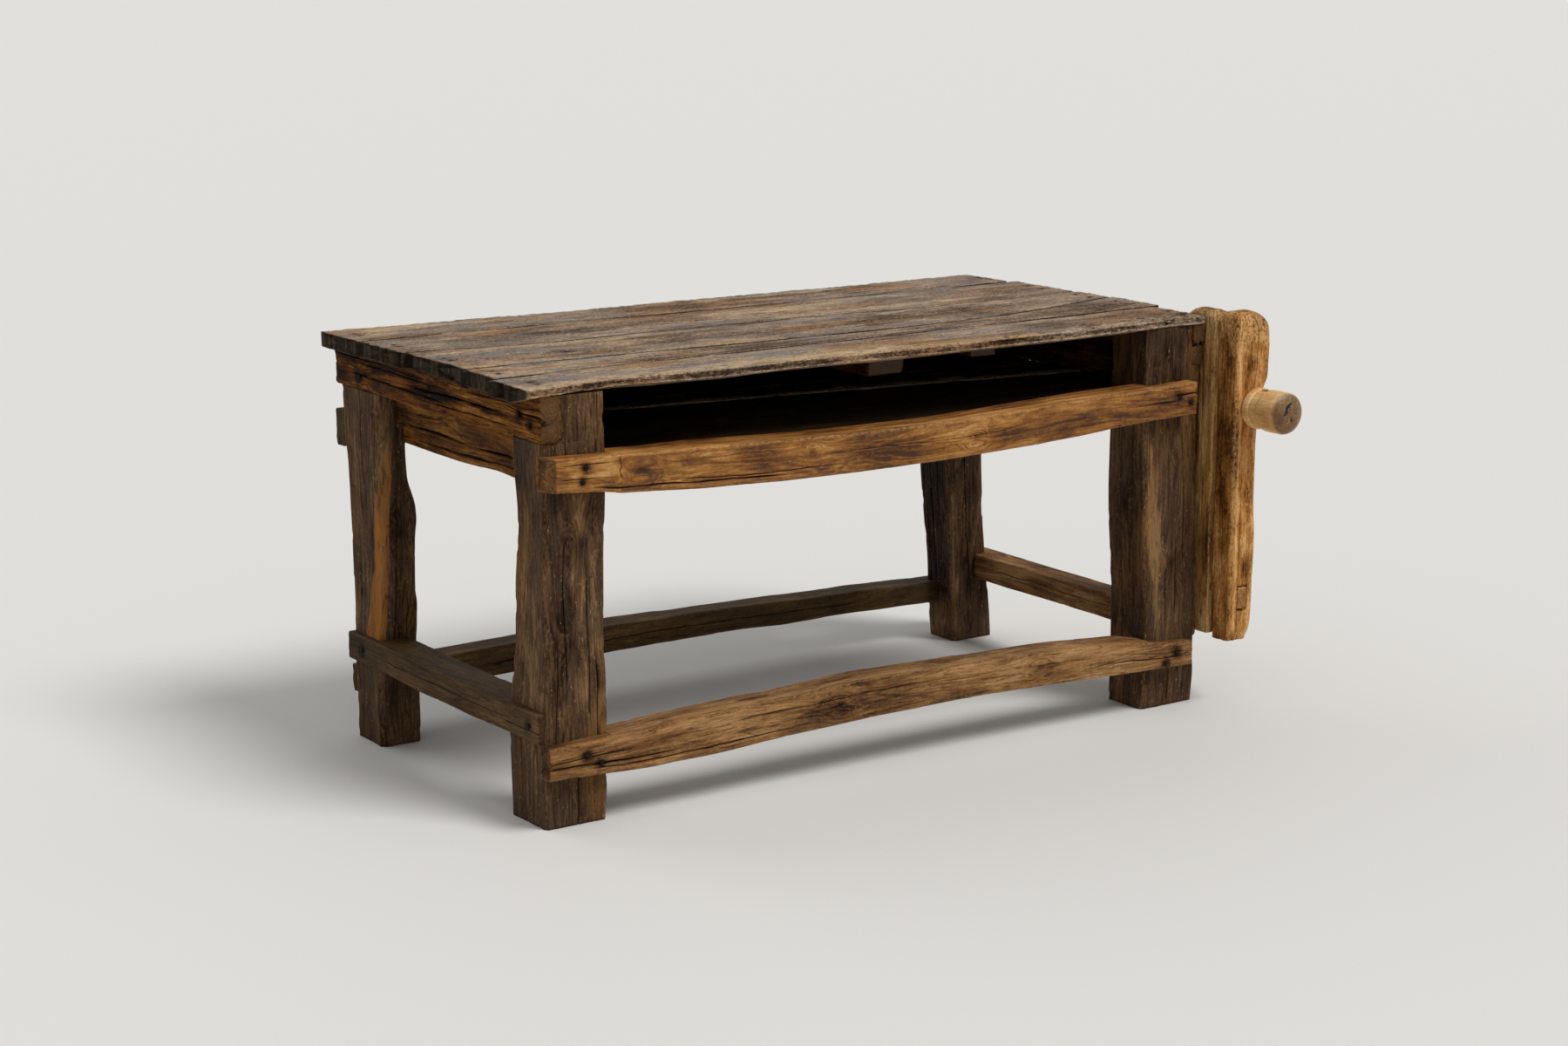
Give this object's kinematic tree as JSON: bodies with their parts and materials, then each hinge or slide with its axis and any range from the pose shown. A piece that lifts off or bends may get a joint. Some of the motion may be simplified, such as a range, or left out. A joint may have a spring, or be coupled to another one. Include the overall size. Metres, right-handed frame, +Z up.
{
  "type": "workbench",
  "caption": "Old rustic joiner's workbench with a planked top, hewn legs, halved rails, a shelf compartment under the top and a wooden leg vise.",
  "frame": {"origin": "on the floor, at the middle of the whole footprint, vise included", "axes": "+X along the bench from the plain end to the vise end, +Y from the front where the vise screw is to the back, +Z up"},
  "size_m": [1.68, 0.9988, 0.812],
  "materials": {
    "top_wood": "weathered and oil-dark, worn bare along the edges",
    "inner_wood": "rough sawn, dusty, dark with age",
    "leg_wood": "hewn, checked along the grain, dull",
    "end_rail_wood": "dry and cracked, dull",
    "rail_wood": "hand planed, smooth, rubbed to a faint sheen",
    "stretcher_wood": "sawn, foot-worn, dull",
    "jaw_wood": "checked, dull",
    "chop_wood": "worm-eaten, worn smooth at the edges",
    "guide_wood": "planed hardwood, rubbed",
    "screw_wood": "turned hardwood, polished by hands",
    "forged_iron": "hand-forged, dark with light rust"
  },
  "bodies": {
    "bench": {"top_plank_1": "top_wood", "top_plank_2": "top_wood", "top_plank_3": "top_wood", "top_plank_4": "top_wood", "top_plank_5": "top_wood", "front_left_leg": "leg_wood", "front_right_leg": "leg_wood", "back_left_leg": "leg_wood", "back_right_leg": "leg_wood", "left_end_rail": "end_rail_wood", "right_end_rail": "end_rail_wood", "front_upper_rail": "rail_wood", "back_upper_rail": "rail_wood", "front_lower_stretcher": "stretcher_wood", "back_lower_stretcher": "stretcher_wood", "left_lower_stretcher": "stretcher_wood", "right_lower_stretcher": "stretcher_wood", "left_bearer": "inner_wood", "right_bearer": "inner_wood", "left_inner_board": "inner_wood", "right_inner_board": "inner_wood", "back_board": "inner_wood", "wide_batten": "inner_wood", "narrow_batten": "inner_wood", "shelf_board_1": "inner_wood", "shelf_board_2": "inner_wood", "shelf_board_3": "inner_wood", "shelf_board_4": "inner_wood", "fixed_jaw": "jaw_wood", "front_rail_nails": "forged_iron", "front_stretcher_nails": "forged_iron", "back_rail_nails": "forged_iron", "back_stretcher_nails": "forged_iron", "left_end_nails": "forged_iron", "right_end_nails": "forged_iron", "fixed_jaw_spikes": "forged_iron", "top_nails": "forged_iron"},
    "chop": {"chop": "chop_wood", "garter_key": "guide_wood", "parallel_guide": "guide_wood", "guide_peg": "guide_wood"},
    "screw": {"vise_screw": "screw_wood"}
  },
  "joints": [
    {"name": "chop_slide", "type": "slide", "parent": "bench", "child": "chop", "axis": [0, -1, 0], "range_m": [0, 0.15]},
    {"name": "screw_turn", "type": "hinge", "parent": "chop", "child": "screw", "pos_m": [0.797, -0.43045, 0.617], "axis": [0, -1, 0], "range_deg": [0, 4510]}
  ],
  "couplings": [
    {"joint": "screw_turn", "follows": "chop_slide", "rad_per_m": 523.6}
  ]
}
